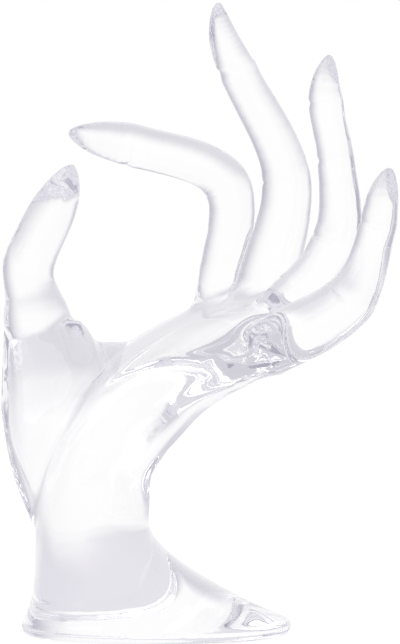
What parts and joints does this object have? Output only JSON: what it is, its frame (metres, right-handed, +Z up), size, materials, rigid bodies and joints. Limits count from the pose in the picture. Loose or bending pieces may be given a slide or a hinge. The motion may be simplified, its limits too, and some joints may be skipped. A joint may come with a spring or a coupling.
{
  "type": "hand jewelry stand",
  "caption": "Clear acrylic left hand in an open OK gesture on a flared foot, a stand for rings on the fingers and bangles or chains in the loop.",
  "frame": {"origin": "centre of the foot's flat underside, on the surface that the stand rests on", "axes": "+Z up, +X towards the foot's toe and the back of the hand, -Y towards the little finger's side"},
  "size_m": [0.1018, 0.0531, 0.1631],
  "materials": {
    "clear_acrylic": "polished clear cast acrylic with a faint lavender cast"
  },
  "bodies": {
    "root": {"foot": "clear_acrylic", "wrist": "clear_acrylic", "palm": "clear_acrylic", "thumb_base": "clear_acrylic", "thumb": "clear_acrylic", "index_finger": "clear_acrylic", "middle_finger": "clear_acrylic", "ring_finger": "clear_acrylic", "little_finger": "clear_acrylic"}
  },
  "joints": []
}
